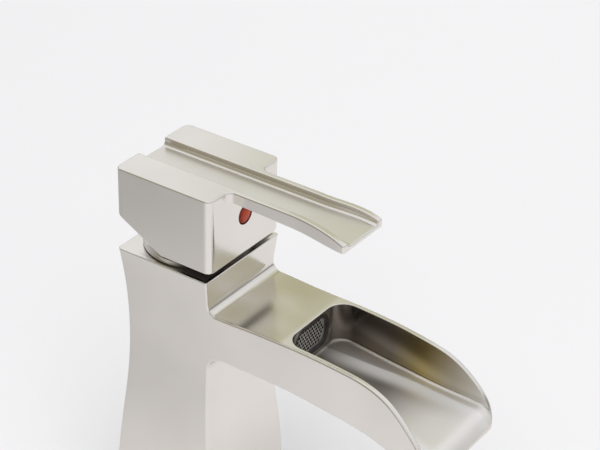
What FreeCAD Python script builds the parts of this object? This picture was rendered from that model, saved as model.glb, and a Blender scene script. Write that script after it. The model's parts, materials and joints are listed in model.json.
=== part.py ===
import FreeCAD
import Part
import math
import os

from functools import lru_cache
from FreeCAD import Vector

# A single-lever basin faucet with a waisted square column, an open waterfall spout and a
# block handle with a channelled lever. All sizes are in millimetres.
# The frame: +Z up, the spout and the lever point to -Y, the origin is the centre of the
# foot on the deck plane.

# ---- driving dimensions -------------------------------------------------------------

# column
BODY_HEIGHT = 112.0         # deck plane to the column's flat top
TOP_WIDTH = 47.2            # along X
TOP_DEPTH = 44.2            # along Y
WAIST_WIDTH = 41.0
WAIST_DEPTH = 40.6
WAIST_DROP_WIDTH = 35.0     # column top down to the narrowest width
WAIST_DROP_DEPTH = 46.0     # column top down to the narrowest depth
FOOT_WIDTH = 52.0
FOOT_DEPTH = 48.4
BACK_CORNER_RADIUS = 2.0
FRONT_CORNER_RADIUS = 0.8
TOP_EDGE_RADIUS = 0.4

# spout
SPOUT_REACH = 126.2         # column axis to the lip
SPOUT_NECK_WIDTH = 40.8
LIP_WIDTH = 48.4
SPOUT_FLARE_LENGTH = 36.0   # the last stretch, where the sides flare out
DECK_DROP = 15.5            # column top down to the spout's flat top
NECK_HEIGHT = 20.3          # flat top down to the underside, at the column
STEP_RADIUS = 4.0           # between the column's front and the flat top
UNDER_RADIUS = 7.0          # between the column's front and the underside
LIP_CORNER_RADIUS = 5.0
TROUGH_WALL = 2.3
TROUGH_LENGTH = 70.7        # lip back to the outlet wall
TROUGH_CORNER_RADIUS = 7.5
TROUGH_FILLET = 1.5
TROUGH_DISH = 0.8           # the floor's middle below its edges
RIM_RADIUS = 0.4            # inner edge of the rim
# distance behind the lip, depth below the spout's flat top
RIM_LINE = [(46.2, 0.85), (30.2, 3.0), (20.2, 6.6), (12.2, 12.6), (5.2, 20.6), (1.8, 26.4), (0.0, 30.4)]
RIM_START = 66.2
FLOOR_LINE = [(70.7, 17.5), (46.2, 19.6), (32.2, 20.9), (23.2, 22.5), (8.2, 24.9), (4.6, 25.9), (2.2, 28.0),
              (0.0, 30.7)]
UNDER_LINE = [(0.0, 32.7), (11.2, 28.9), (24.2, 26.0), (43.2, 23.0), (71.2, 20.5)]
UNDER_START = 88.0
SPOUT_JOINT = 0.6           # column's front to the brazed joint of the spout

# outlet screen
WINDOW_WIDTH = 20.0
WINDOW_HEIGHT = 12.0
WINDOW_RADIUS = 4.5
WINDOW_TOP = 2.4            # flat top down to the window
FRAME_LEDGE = 1.6           # the screen frame's rebate round the window
FRAME_DEPTH = 1.6
SCREEN_THICKNESS = 0.5
SCREEN_HOLE = 1.25
SCREEN_PITCH = 1.75
SEAL_THICKNESS = 0.6

# water ways
DUCT_WIDTH = 18.0
DUCT_BACK = 22.5            # column axis to the duct's back wall
GALLERY_WIDTH = 14.0
GALLERY_HEIGHT = 4.2
GALLERY_FLOOR = 31.2        # column top down to the gallery's floor

# foot and deck fixing
GASKET_PROUD = 0.5
GASKET_THICKNESS = 2.0
GASKET_BORE = 40.0
GASKET_MARGIN = 2.6         # foot edge to the gasket
RECESS_DIAMETER = 36.0
RECESS_HEIGHT = 22.0
INLET_THREAD = 9.2          # minor diameter of an M10 x 1 inlet
INLET_THREAD_LENGTH = 12.0
DECK_THICKNESS = 20.0
STUD_DIAMETER = 6.0
STUD_OFFSET = 14.0
STUD_GRIP = 11.5
STUD_BELOW = 46.0           # deck plane down to the stud's end
CLAMP_DIAMETER = 54.0
CLAMP_RUBBER = 3.0
CLAMP_STEEL = 2.0
CLAMP_SLOT = 29.0           # slot for the supply hoses, along X
NUT_FLATS = 10.0
NUT_HEIGHT = 6.0
STUD_CHAMFER = 0.6
STUD_HOLE_PLAY = 0.2
GASKET_CORNER_RADIUS = 3.0
GASKET_GROOVE_PLAY = 0.1
SLOT_EDGE = 1.8             # metal left between the slot and a stud hole
SLOT_CORNER_RADIUS = 3.0

# cartridge, measured down from the column's top
SEAT_DROP = 24.0
CARTRIDGE_DIAMETER = 34.8
CARTRIDGE_SHARE = CARTRIDGE_DIAMETER / 34.8     # the discs and ports grow with the cartridge
CARTRIDGE_CLEARANCE = 0.1
PORT_X = 8.0 * CARTRIDGE_SHARE                  # hot and cold ports, either side of the middle
PORT_Y = 3.0 * CARTRIDGE_SHARE
OUTLET_Y = 8.0 * CARTRIDGE_SHARE                # outlet port, in front of the axis
INLET_BORE = 6.0 * CARTRIDGE_SHARE
OUTLET_BORE = 7.5 * CARTRIDGE_SHARE
THREAD_STEP = 1.8           # thread's radius beyond the cartridge's
THREAD_DIAMETER = CARTRIDGE_DIAMETER + 2 * THREAD_STEP
THREAD_DROP = 8.0
BASE_THICKNESS = 5.0
BASE_FLANGE = 2.0
HOUSING_WALL = 1.4
HOUSING_SHOULDER = 1.8
HOUSING_NECK = CARTRIDGE_DIAMETER - 2 * HOUSING_SHOULDER
HOUSING_NECK_WALL = 1.3
HOUSING_NECK_BORE = HOUSING_NECK - 2 * HOUSING_NECK_WALL
HOUSING_TOP = 6.0           # above the column's top
HOUSING_ROOF = 1.8
FIXED_DISC_DIAMETER = 27.0 * CARTRIDGE_SHARE
DISC_THICKNESS = 4.0
MOVING_DISC_DIAMETER = 22.6 * CARTRIDGE_SHARE
DISC_GAP = 0.05             # running gap of the moving disc
DISC_SHIFT = 3.05           # the moving disc sits this far back when closed
CARRIER_THICKNESS = 2.6
CARRIER_PLAY = 0.25          # carrier to the housing at the ends of its slide
CARRIER_RADIUS = HOUSING_NECK_BORE / 2 - DISC_SHIFT - CARRIER_PLAY
TONGUE_WIDTH = 13.8
TONGUE_HEIGHT = 2.2
TONGUE_END = 2.0            # wall in front of and behind the stem's pocket
ROTOR_CLEARANCE = 0.08
SEAL_SECTION = 1.8          # port seal, across its ring
SEAL_RIM = 0.3              # metal left between a port and its seal's groove
DOWEL_DIAMETER = 2.6        # between the carrier and the moving disc
DOWEL_LENGTH = 1.2
DOWEL_EDGE = 0.7            # carrier's rim outside a dowel
DOWEL_OFFSET = CARRIER_RADIUS - DOWEL_DIAMETER / 2 - DOWEL_EDGE
DISC_HOLLOW_WIDTH = 7.0     # mixing hollow under the moving disc
DISC_HOLLOW_LENGTH = 10.0
DISC_HOLLOW_DEPTH = 2.0
DISC_HOLLOW_RADIUS = 3.0
NUT_KEY_WIDTH = 3.2
NUT_KEY_DEPTH = 1.6
ROTOR_NECK = 20.6
ROTOR_TOP = 11.0            # above the column's top
RING_THICKNESS = 2.2
CARTRIDGE_NUT_HEIGHT = 4.6

# handle; heights are above the column's top
PIVOT_HEIGHT = 7.0          # lever hinge
LEVER_LIFT = 25.0           # degrees, the hinge's upper limit
STEM_ARM = 14.0             # hinge down to the stem's ball
BALL_DIAMETER = 6.4
BALL_PLAY = 0.4
STEM_SIDE = 8.0
STEM_SIDE_PLAY = 0.15
STEM_CORNER_RADIUS = 0.6
PIN_DIAMETER = 3.0
PIN_FIT = 0.05
BLOCK_WIDTH = 45.0
BLOCK_DEPTH = 46.0
BLOCK_BOTTOM = 3.2
BLOCK_TOP = 35.4
BLOCK_CORNER_RADIUS = 3.0
BLOCK_EDGE_RADIUS = 0.7
CHAMFER_HEIGHT = 15.0       # back face, where the rear chamfer starts
CHAMFER_REACH = 1.0         # behind the axis, where it meets the bottom
BONNET_SPACE = 3.4          # cartridge neck to the bonnet's outside
BONNET_RADIUS = HOUSING_NECK / 2 + BONNET_SPACE     # ball shaped outside, round the hinge
CAVITY_PLAY = 0.7
CAVITY_RADIUS = BONNET_RADIUS + CAVITY_PLAY     # ball shaped hollow round the hinge
BOSS_DIAMETER = 16.0
BOSS_BOTTOM = 16.0
SOCKET_FIT = 0.05
SOCKET_ROOF = 3.5           # metal left over the socket
LEVER_REACH = 77.0          # axis to the lever's tip
LEVER_WIDTH = 21.2
LEVER_TIP_WIDTH = 25.8
LEVER_FLARE_LENGTH = 24.0
LEVER_ROOT_RADIUS = 3.0
LEVER_RIM = 2.7             # width of the two raised edges
CHANNEL_DEPTH = 3.4
CHANNEL_FILLET = 1.8
CHANNEL_EDGE_RADIUS = 0.6
LEVER_CORNER_RADIUS = 0.8
# distance behind the tip, height above the column's top
LEVER_TOP_LINE = [(27.0, 35.4), (20.0, 35.2), (11.0, 34.7), (5.5, 33.8), (1.5, 32.6), (0.0, 31.9)]
LEVER_UNDER_LINE = [(0.0, 28.9), (12.0, 29.4), (36.0, 30.4), (56.0, 31.0)]
CHANNEL_TIP_HEIGHT = 30.6

# bonnet, indicator and set screw
BONNET_DIAMETER = 43.6
BONNET_FLANGE = 2.6
BONNET_WALL = 1.5
BONNET_TOP = 12.0
BONNET_SKIRT = 3.0
BONNET_EDGE_RADIUS = 0.4
INDICATOR_HEIGHT = 20.4
INDICATOR_DIAMETER = 8.4
INDICATOR_THICKNESS = 2.4
INDICATOR_SUNK = 0.5
INDICATOR_CLEARANCE = 0.15
INDICATOR_EDGE_RADIUS = 0.5
SCREW_DIAMETER = 5.0
SCREW_LENGTH = 8.0
SCREW_HEX = 2.5


MOVE_GAP = 0.3              # gap between pieces that move past each other freely

os.makedirs("parts", exist_ok=True)


# ---- small helpers ------------------------------------------------------------------

def above(height):
    """A height above the column's top, as a height above the deck."""
    return BODY_HEIGHT + height


def box(x0, x1, y0, y1, z0, z1):
    return Part.makeBox(x1 - x0, y1 - y0, z1 - z0, Vector(x0, y0, z0))


def cylinder(radius, z0, z1, x=0.0, y=0.0):
    return Part.makeCylinder(radius, z1 - z0, Vector(x, y, z0))


def ring(outer, inner, z0, z1):
    return cylinder(outer, z0, z1).cut(cylinder(inner, z0 - 1, z1 + 1))


def front_hole(diameter, x, z, y0, y1):
    """A cylinder along Y."""
    return Part.makeCylinder(diameter / 2, y1 - y0, Vector(x, y0, z), Vector(0, 1, 0))


def ball(radius, z):
    return Part.makeSphere(radius, Vector(0, 0, z))


def hexagon(flats, middle, along):
    """A hexagonal prism; along is its length and direction, along Y or Z."""
    corner = flats / math.sqrt(3)
    sides = [(corner * math.cos(math.pi * i / 3), corner * math.sin(math.pi * i / 3)) for i in range(7)]
    points = [middle + (Vector(a, b, 0) if along.z else Vector(a, 0, b)) for a, b in sides]
    return Part.Face(Part.makePolygon(points)).extrude(along)


def fuse(shapes):
    return shapes[0].fuse(shapes[1:]).removeSplitter() if len(shapes) > 1 else shapes[0]


def smooth_step(t):
    """0 to 1, level at both ends."""
    t = min(max(t, 0.0), 1.0)
    return t * t * (3.0 - 2.0 * t)


def spline(points, start=None, end=None):
    """A smooth edge through the points, with the given end directions."""
    curve = Part.BSplineCurve()
    if start is None:
        curve.interpolate(points)
    else:
        curve.interpolate(Points=points, InitialTangent=start, FinalTangent=end)
    return curve.toShape()


def line(a, b):
    return Part.makeLine(a, b)


def side_plate(edges, half_width):
    """A closed outline in the YZ plane, as a plate across X."""
    face = Part.Face(Part.Wire(edges))
    face.translate(Vector(-half_width, 0, 0))
    return face.extrude(Vector(2 * half_width, 0, 0))


def rounded_plate(width, height, radius, y0, y1, z_mid):
    """A plate across Y with a rounded oblong outline in XZ."""
    plate = box(-width / 2, width / 2, y0, y1, z_mid - height / 2, z_mid + height / 2)
    edges = [e for e in plate.Edges if abs(e.BoundBox.YLength - (y1 - y0)) < 1e-6]
    return plate.makeFillet(radius, edges)


def fillet_where(shape, radius, test):
    """Rounds each edge whose box passes the test."""
    return shape.makeFillet(radius, [e for e in shape.Edges if test(e.BoundBox)])


def export(name, shape):
    shape.exportStep(os.path.join("parts", name + ".step"))


# ---- column and spout outline -------------------------------------------------------

def flare(z, top, waist, foot, waist_drop):
    """Half width of the column at a height, from its top, waist and foot widths."""
    waist_z = BODY_HEIGHT - waist_drop
    if z > waist_z:
        return (waist + (top - waist) * ((z - waist_z) / waist_drop) ** 2) / 2
    return (waist + (foot - waist) * smooth_step((waist_z - z) / waist_z)) / 2


def half_width(z):
    return flare(z, TOP_WIDTH, WAIST_WIDTH, FOOT_WIDTH, WAIST_DROP_WIDTH)


def half_depth(z):
    return flare(z, TOP_DEPTH, WAIST_DEPTH, FOOT_DEPTH, WAIST_DROP_DEPTH)


def spout_half_width(reach):
    """Half width of the spout at a distance in front of the axis."""
    flared = smooth_step((reach - (SPOUT_REACH - SPOUT_FLARE_LENGTH)) / SPOUT_FLARE_LENGTH)
    return (SPOUT_NECK_WIDTH + (LIP_WIDTH - SPOUT_NECK_WIDTH) * flared) / 2


def blended_half_width(reach, z):
    """The column's width runs over into the spout's without a step."""
    share = smooth_step((reach - FOOT_DEPTH / 2) / (FOOT_DEPTH / 2))
    return half_width(z) * (1 - share) + spout_half_width(reach) * share


def width_block(inset):
    """Everything between the two flared sides, each moved in by the inset."""
    reaches = [SPOUT_REACH * i / 18 for i in range(-4, 20)]
    heights = [BODY_HEIGHT * i / 18 for i in range(-1, 20)]
    grid = [[Vector(blended_half_width(r, z) - inset, -r, z) for z in heights] for r in reaches]
    surface = Part.BSplineSurface()
    surface.interpolate(grid)
    slab = surface.toShape().extrude(Vector(-2 * FOOT_WIDTH, 0, 0))
    return slab.common(slab.mirror(Vector(0, 0, 0), Vector(1, 0, 0)))


def deck_z():
    return BODY_HEIGHT - DECK_DROP


def at_lip(behind, depth):
    """A point on the spout's middle plane, from the lip and the flat top."""
    return Vector(0, behind - SPOUT_REACH, deck_z() - depth)


def column_plate():
    """The column seen from the side."""
    steps = 8
    low, high = GASKET_PROUD, BODY_HEIGHT
    heights = [low + (high - low) * i / steps for i in range(steps + 1)]
    front = [Vector(0, -half_depth(z), z) for z in heights]
    back = [Vector(0, half_depth(z), z) for z in heights]
    edges = [spline(front), line(front[-1], back[-1]), spline(back), line(back[0], front[0])]
    return side_plate(edges, FOOT_WIDTH)


def spout_plate():
    """The spout seen from the side, running back into the column."""
    rim = [at_lip(RIM_START, 0.0)] + [at_lip(*p) for p in RIM_LINE]
    under = [at_lip(*p) for p in UNDER_LINE] + [at_lip(UNDER_START, NECK_HEIGHT)]
    root_top = Vector(0, 0, deck_z())
    root_under = Vector(0, 0, deck_z() - NECK_HEIGHT)
    edges = [
        line(root_top, rim[0]),
        spline(rim, Vector(0, -1, 0), Vector(0, -0.35, -1)),
        line(rim[-1], under[0]),
        spline(under, Vector(0, 1, 0.36), Vector(0, 1, 0)),
        line(under[-1], root_under),
        line(root_under, root_top),
    ]
    return side_plate(edges, FOOT_WIDTH)


def lip_corners():
    """What the rounded corners of the lip take away."""
    r = LIP_CORNER_RADIUS
    x = spout_half_width(SPOUT_REACH - r) - r
    y = -SPOUT_REACH + r
    z0, z1 = deck_z() - 2 * NECK_HEIGHT, deck_z()
    corner = box(x, x + 2 * r, y - 2 * r, y, z0, z1).cut(cylinder(r, z0, z1, x, y))
    return [corner, corner.mirror(Vector(0, 0, 0), Vector(1, 0, 0))]


def body_outside():
    """Column and spout as one solid casting."""
    plates = fuse([column_plate(), spout_plate()])
    front = half_depth(deck_z())

    def across(b):
        return b.XLength > FOOT_WIDTH and b.YLength < 0.01 and b.ZLength < 0.01 and abs(-b.YMin - front) < 1.5

    plates = fillet_where(plates, STEP_RADIUS, lambda b: across(b) and abs(b.ZMin - deck_z()) < 0.1)
    plates = fillet_where(plates, UNDER_RADIUS,
                          lambda b: across(b) and abs(b.ZMin - deck_z() + NECK_HEIGHT) < 0.1)
    solid = plates.common(width_block(0.0)).cut(lip_corners())
    return solid


def soften_body(solid):
    """Rounds the upright corners, the long edges that run on into the rim, and the top."""
    back = half_depth(BODY_HEIGHT / 2) * 0.9
    solid = fillet_where(solid, BACK_CORNER_RADIUS, lambda b: b.YMin > back and b.ZLength > BODY_HEIGHT / 2)
    solid = fillet_where(solid, FRONT_CORNER_RADIUS, lambda b: b.YMax < -back and b.XLength < WAIST_WIDTH / 2)
    return fillet_where(solid, TOP_EDGE_RADIUS, lambda b: b.ZMin > BODY_HEIGHT - 0.1)


# ---- spout inside -------------------------------------------------------------------

def trough():
    """The open channel that the water runs along."""
    floor_points = [at_lip(*p) for p in FLOOR_LINE]
    run_out = floor_points[-1] + (floor_points[-1] - floor_points[-2])
    rows = spline([floor_points[0] + Vector(0, 6, 0)] + floor_points + [run_out]).discretize(Number=30)
    edge = SPOUT_NECK_WIDTH / 2 - TROUGH_WALL
    columns = [edge * 1.5 * i / 4 for i in range(-4, 5)]
    grid = [[p + Vector(x, 0, TROUGH_DISH * (x / edge) ** 2) for x in columns] for p in rows]
    surface = Part.BSplineSurface()
    surface.interpolate(grid)
    over_floor = surface.toShape().extrude(Vector(0, 0, BODY_HEIGHT))
    back = outlet_wall()
    ahead = box(-FOOT_WIDTH, FOOT_WIDTH, -SPOUT_REACH - 20, back, 0, deck_z() + 10)
    tool = over_floor.common(width_block(TROUGH_WALL)).common(ahead)
    tool = fillet_where(tool, TROUGH_CORNER_RADIUS,
                        lambda b: b.YMin > back - 0.01 and b.ZLength > NECK_HEIGHT / 2)
    return fillet_where(tool, TROUGH_FILLET,
                        lambda b: b.ZMax < deck_z() - NECK_HEIGHT / 2 and b.YMax > -SPOUT_REACH - 1)


def soften_rim(solid):
    """Rounds the trough's upper edge, from the outlet wall to the lip."""
    corner = outlet_wall() - TROUGH_CORNER_RADIUS
    low = deck_z() - NECK_HEIGHT * 1.4
    inside = LIP_WIDTH / 2 - TROUGH_WALL + 0.1

    def on_rim(b):
        across = abs(b.YMax - RIM_START + SPOUT_REACH) < 0.1 and b.YLength < 0.01
        near = max(abs(b.XMin), abs(b.XMax)) < inside and b.YMax < outlet_wall() + 0.1
        clear_of_lip = b.YMin > -SPOUT_REACH + 0.5 and b.ZMin > low
        return near and clear_of_lip and b.XLength + b.YLength > 2 and not across

    return fillet_where(solid, RIM_RADIUS, on_rim)


def window_middle():
    return deck_z() - WINDOW_TOP - WINDOW_HEIGHT / 2


def window_plate(ledge, y0, y1):
    """A plate shaped like the window, wider by the ledge all round."""
    return rounded_plate(WINDOW_WIDTH + 2 * ledge, WINDOW_HEIGHT + 2 * ledge, WINDOW_RADIUS + ledge, y0, y1,
                         window_middle())


def outlet_wall():
    """Y of the upright wall that the screen sits in."""
    return TROUGH_LENGTH - SPOUT_REACH


def water_ways():
    """Gallery, duct, window, ports and inlets, cast or drilled in the body."""
    y_wall = outlet_wall()
    z_mid = window_middle()
    half_h = WINDOW_HEIGHT / 2
    window = window_plate(0, y_wall - 1, y_wall + 8)
    rebate = window_plate(FRAME_LEDGE, y_wall - 1, y_wall + FRAME_DEPTH + SEAL_THICKNESS)
    duct = box(-DUCT_WIDTH / 2, DUCT_WIDTH / 2, y_wall + 6, -DUCT_BACK, z_mid - half_h, z_mid + half_h)
    gallery_z = BODY_HEIGHT - GALLERY_FLOOR
    gallery = box(-GALLERY_WIDTH / 2, GALLERY_WIDTH / 2, -DUCT_BACK - 2, -OUTLET_Y + GALLERY_WIDTH / 2 - 3,
                  gallery_z, gallery_z + GALLERY_HEIGHT)
    seat = BODY_HEIGHT - SEAT_DROP
    cuts = [window, rebate, duct, gallery, cylinder(OUTLET_BORE / 2, gallery_z + 1, seat + 1, 0, -OUTLET_Y)]
    cuts += [cylinder(INLET_BORE / 2, RECESS_HEIGHT, seat + 1, side * PORT_X, PORT_Y) for side in (-1, 1)]
    return cuts


def gasket_outline(extra, z0, z1):
    """The foot gasket's ring, with a rounded square outside."""
    w = FOOT_WIDTH - 2 * GASKET_MARGIN + 2 * extra
    d = FOOT_DEPTH - 2 * GASKET_MARGIN + 2 * extra
    plate = box(-w / 2, w / 2, -d / 2, d / 2, z0, z1)
    plate = fillet_where(plate, GASKET_CORNER_RADIUS + extra, lambda b: b.ZLength > 0.5 * (z1 - z0))
    return plate.cut(cylinder(GASKET_BORE / 2 - extra, z0 - 1, z1 + 1))


def stud_places():
    return [(0.0, -STUD_OFFSET), (0.0, STUD_OFFSET)]


@lru_cache(maxsize=None)
def casting():
    """Column and spout in one, with all their hollows."""
    seat = BODY_HEIGHT - SEAT_DROP
    solid = soften_rim(soften_body(body_outside()).cut(trough()))
    cuts = [
        cylinder(CARTRIDGE_DIAMETER / 2 + CARTRIDGE_CLEARANCE, seat, BODY_HEIGHT + 1),
        cylinder(THREAD_DIAMETER / 2, BODY_HEIGHT - THREAD_DROP, BODY_HEIGHT + 1),
        cylinder(RECESS_DIAMETER / 2, 0, foot_top()),
        gasket_outline(GASKET_GROOVE_PLAY, 0, GASKET_THICKNESS),
    ]
    return solid.cut(cuts + water_ways())


def spout_space():
    """The room in front of the spout's joint, above the column's waist."""
    joint = -TOP_DEPTH / 2 - SPOUT_JOINT
    return box(-FOOT_WIDTH, FOOT_WIDTH, -SPOUT_REACH - 1, joint, BODY_HEIGHT / 2, BODY_HEIGHT + 1)


def foot_top():
    """Height of the foot's joint, level with the top of the inlet block."""
    return RECESS_HEIGHT + INLET_THREAD_LENGTH


def foot_space():
    """The room below the foot's joint."""
    return box(-FOOT_WIDTH, FOOT_WIDTH, -FOOT_WIDTH, FOOT_WIDTH, 0, foot_top())


def faucet_body():
    return casting().cut([spout_space(), foot_space()])


def spout():
    return casting().common(spout_space())


def column_foot():
    return casting().common(foot_space())


def inlet_block():
    """Disc brazed into the foot, with the threaded inlets and the stud holes."""
    top = foot_top()
    disc = cylinder(RECESS_DIAMETER / 2, RECESS_HEIGHT, top)
    cuts = [cylinder(INLET_THREAD / 2, RECESS_HEIGHT - 1, top + 1, side * PORT_X, PORT_Y) for side in (-1, 1)]
    cuts += [cylinder(STUD_DIAMETER / 2, RECESS_HEIGHT - 1, top + 1, x, y) for x, y in stud_places()]
    return disc.cut(cuts)


# ---- deck fixing --------------------------------------------------------------------

def base_gasket():
    return gasket_outline(0.0, 0.0, GASKET_THICKNESS)


def stud(x, y):
    """One stud with a small lead-in chamfer on its lower end."""
    rod = cylinder(STUD_DIAMETER / 2, -STUD_BELOW, RECESS_HEIGHT + STUD_GRIP, x, y)
    return rod.makeChamfer(STUD_CHAMFER, [e for e in rod.Edges if e.BoundBox.ZMax < 1 - STUD_BELOW])


def mounting_studs():
    return Part.makeCompound([stud(x, y) for x, y in stud_places()])


def clamp_ring(z0, z1):
    """A round clamp plate with a slot for the hoses and two stud holes."""
    plate = cylinder(CLAMP_DIAMETER / 2, z0, z1)
    slot_back = STUD_OFFSET - STUD_DIAMETER / 2 - SLOT_EDGE
    slot = box(-CLAMP_SLOT / 2, CLAMP_SLOT / 2, PORT_Y + 1 - slot_back, slot_back, z0 - 1, z1 + 1)
    slot = fillet_where(slot, SLOT_CORNER_RADIUS, lambda b: b.ZLength > z1 - z0)
    hole = STUD_DIAMETER / 2 + STUD_HOLE_PLAY
    holes = [cylinder(hole, z0 - 1, z1 + 1, x, y) for x, y in stud_places()]
    return plate.cut([slot] + holes)


def clamp_gasket():
    return clamp_ring(-DECK_THICKNESS - CLAMP_RUBBER, -DECK_THICKNESS)


def clamp_plate():
    top = -DECK_THICKNESS - CLAMP_RUBBER
    return clamp_ring(top - CLAMP_STEEL, top)


def nut(x, y, top):
    """One hexagon nut with its lower corners turned off."""
    corner = NUT_FLATS / math.sqrt(3)
    low = top - NUT_HEIGHT
    turned = NUT_HEIGHT / 3
    prism = hexagon(NUT_FLATS, Vector(x, y, low), Vector(0, 0, NUT_HEIGHT))
    cone = Part.makeCone(NUT_FLATS / 2 + 0.2, corner + 1, turned, Vector(x, y, low))
    shank = cylinder(corner + 1, low + turned, top, x, y)
    return prism.common(cone.fuse(shank)).cut(cylinder(STUD_DIAMETER / 2, low - 1, top + 1, x, y))


def mounting_nuts():
    top = -DECK_THICKNESS - CLAMP_RUBBER - CLAMP_STEEL
    return Part.makeCompound([nut(x, y, top) for x, y in stud_places()])


# ---- outlet screen ------------------------------------------------------------------

def screen_frame():
    """A thin rim clipped in the rebate, holding the mesh."""
    y0 = outlet_wall()
    y1 = y0 + FRAME_DEPTH
    rim = window_plate(FRAME_LEDGE, y0, y1).cut(window_plate(0, y0 - 1, y1 + 1))
    return rim.cut(window_plate(FRAME_LEDGE / 2, y1 - SCREEN_THICKNESS, y1 + 1))


def outlet_screen():
    """The holed sheet, with staggered rows of round holes."""
    y1 = outlet_wall() + FRAME_DEPTH
    y0 = y1 - SCREEN_THICKNESS
    z = window_middle()
    sheet = window_plate(FRAME_LEDGE / 2, y0, y1)
    keep_w, keep_h = WINDOW_WIDTH / 2 - SCREEN_HOLE, WINDOW_HEIGHT / 2 - SCREEN_HOLE
    corner = WINDOW_RADIUS - SCREEN_HOLE
    row_step = SCREEN_PITCH * math.sqrt(3) / 2
    rows = int(keep_h / row_step)
    columns = int(keep_w / SCREEN_PITCH) + 1
    holes = []
    for row in range(-rows, rows + 1):
        for column in range(-columns, columns + 1):
            x = SCREEN_PITCH * (column + 0.5 * (row % 2))
            dz = row_step * row
            over = Vector(max(abs(x) - keep_w + corner, 0), max(abs(dz) - keep_h + corner, 0), 0)
            if over.Length <= corner:
                holes.append(front_hole(SCREEN_HOLE, x, z + dz, y0 - 1, y1 + 1))
    return sheet.cut(holes)


def screen_seal():
    y0 = outlet_wall() + FRAME_DEPTH
    return window_plate(FRAME_LEDGE, y0, y0 + SEAL_THICKNESS).cut(window_plate(0, y0 - 1, y0 + 2))


# ---- cartridge ----------------------------------------------------------------------

def port_places():
    """x, y and bore radius of the two inlets and the outlet."""
    inlets = [(side * PORT_X, PORT_Y, INLET_BORE / 2) for side in (-1, 1)]
    return inlets + [(0.0, -OUTLET_Y, OUTLET_BORE / 2)]


def seal_ring(x, y, bore):
    """One O-ring round a port, in its groove under the cartridge."""
    middle = Vector(x, y, above(-SEAT_DROP) + SEAL_SECTION / 2)
    return Part.makeTorus(bore + SEAL_RIM + SEAL_SECTION / 2, SEAL_SECTION / 2, middle)


def cartridge_base():
    seat = above(-SEAT_DROP)
    outer = CARTRIDGE_DIAMETER / 2
    solid = cylinder(outer, seat, seat + BASE_FLANGE).fuse(
        cylinder(outer - HOUSING_WALL, seat, seat + BASE_THICKNESS)).removeSplitter()
    cuts = []
    for x, y, r in port_places():
        cuts.append(cylinder(r, seat - 1, seat + BASE_THICKNESS + 1, x, y))
        groove = cylinder(r + SEAL_RIM + SEAL_SECTION, seat - 1, seat + SEAL_SECTION, x, y)
        cuts.append(groove.cut(cylinder(r + SEAL_RIM, seat - 1, seat + SEAL_SECTION, x, y)))
    return solid.cut(cuts)


def port_seals():
    return Part.makeCompound([seal_ring(x, y, r) for x, y, r in port_places()])


def disc_bottom():
    return above(-SEAT_DROP) + BASE_THICKNESS


def fixed_disc():
    z = disc_bottom()
    disc = cylinder(FIXED_DISC_DIAMETER / 2, z, z + DISC_THICKNESS)
    return disc.cut([cylinder(r, z - 1, z + DISC_THICKNESS + 1, x, y) for x, y, r in port_places()])


def dowels(top):
    """Two round pegs that go down into the moving disc from its top."""
    radius = DOWEL_DIAMETER / 2
    return [cylinder(radius, top - DOWEL_LENGTH, top + 1, side * DOWEL_OFFSET, DISC_SHIFT) for side in (-1, 1)]


def moving_disc():
    """Slides over the fixed disc; its hollow underside joins the inlets to the outlet."""
    z = disc_bottom() + DISC_THICKNESS + DISC_GAP
    top = z + DISC_THICKNESS - DISC_GAP
    disc = cylinder(MOVING_DISC_DIAMETER / 2, z, top, 0, DISC_SHIFT)
    front = DISC_SHIFT - MOVING_DISC_DIAMETER / 2 + SEAL_SECTION + 1
    half = DISC_HOLLOW_WIDTH / 2
    hollow = box(-half, half, front, front + DISC_HOLLOW_LENGTH, z - 1, z + DISC_HOLLOW_DEPTH)
    hollow = fillet_where(hollow, DISC_HOLLOW_RADIUS, lambda b: b.ZLength > DISC_HOLLOW_DEPTH)
    return disc.cut([hollow] + dowels(top))


def carrier_bottom():
    return disc_bottom() + 2 * DISC_THICKNESS


def disc_carrier():
    """Plastic slide between the stem and the moving disc."""
    z = carrier_bottom()
    top = z + CARRIER_THICKNESS
    plate = cylinder(CARRIER_RADIUS, z, top, 0, DISC_SHIFT)
    reach = BALL_DIAMETER / 2 + BALL_PLAY + TONGUE_END
    half = TONGUE_WIDTH / 2
    tongue = box(-half, half, -reach, reach + DISC_SHIFT, top - 0.5, top + TONGUE_HEIGHT)
    pocket = cylinder(BALL_DIAMETER / 2 + BALL_PLAY, z - 1, top + TONGUE_HEIGHT + 1)
    return fuse([plate, tongue] + dowels(z)).cut(pocket)


def rotor_bottom():
    return carrier_bottom() + CARRIER_THICKNESS + MOVE_GAP


def cartridge_housing():
    seat = above(-SEAT_DROP)
    shoulder = above(-THREAD_DROP)
    outer = CARTRIDGE_DIAMETER / 2
    shell = fuse([
        cylinder(outer, seat + BASE_FLANGE, shoulder),
        cylinder(HOUSING_NECK / 2, shoulder - 1, above(HOUSING_TOP)),
    ])
    cuts = [
        cylinder(outer - HOUSING_WALL, seat, shoulder - HOUSING_WALL),
        cylinder(HOUSING_NECK_BORE / 2, seat, above(HOUSING_TOP - HOUSING_ROOF)),
        cylinder(ROTOR_NECK / 2 + MOVE_GAP, seat, above(HOUSING_TOP) + 1),
    ]
    return shell.cut(cuts)


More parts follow.
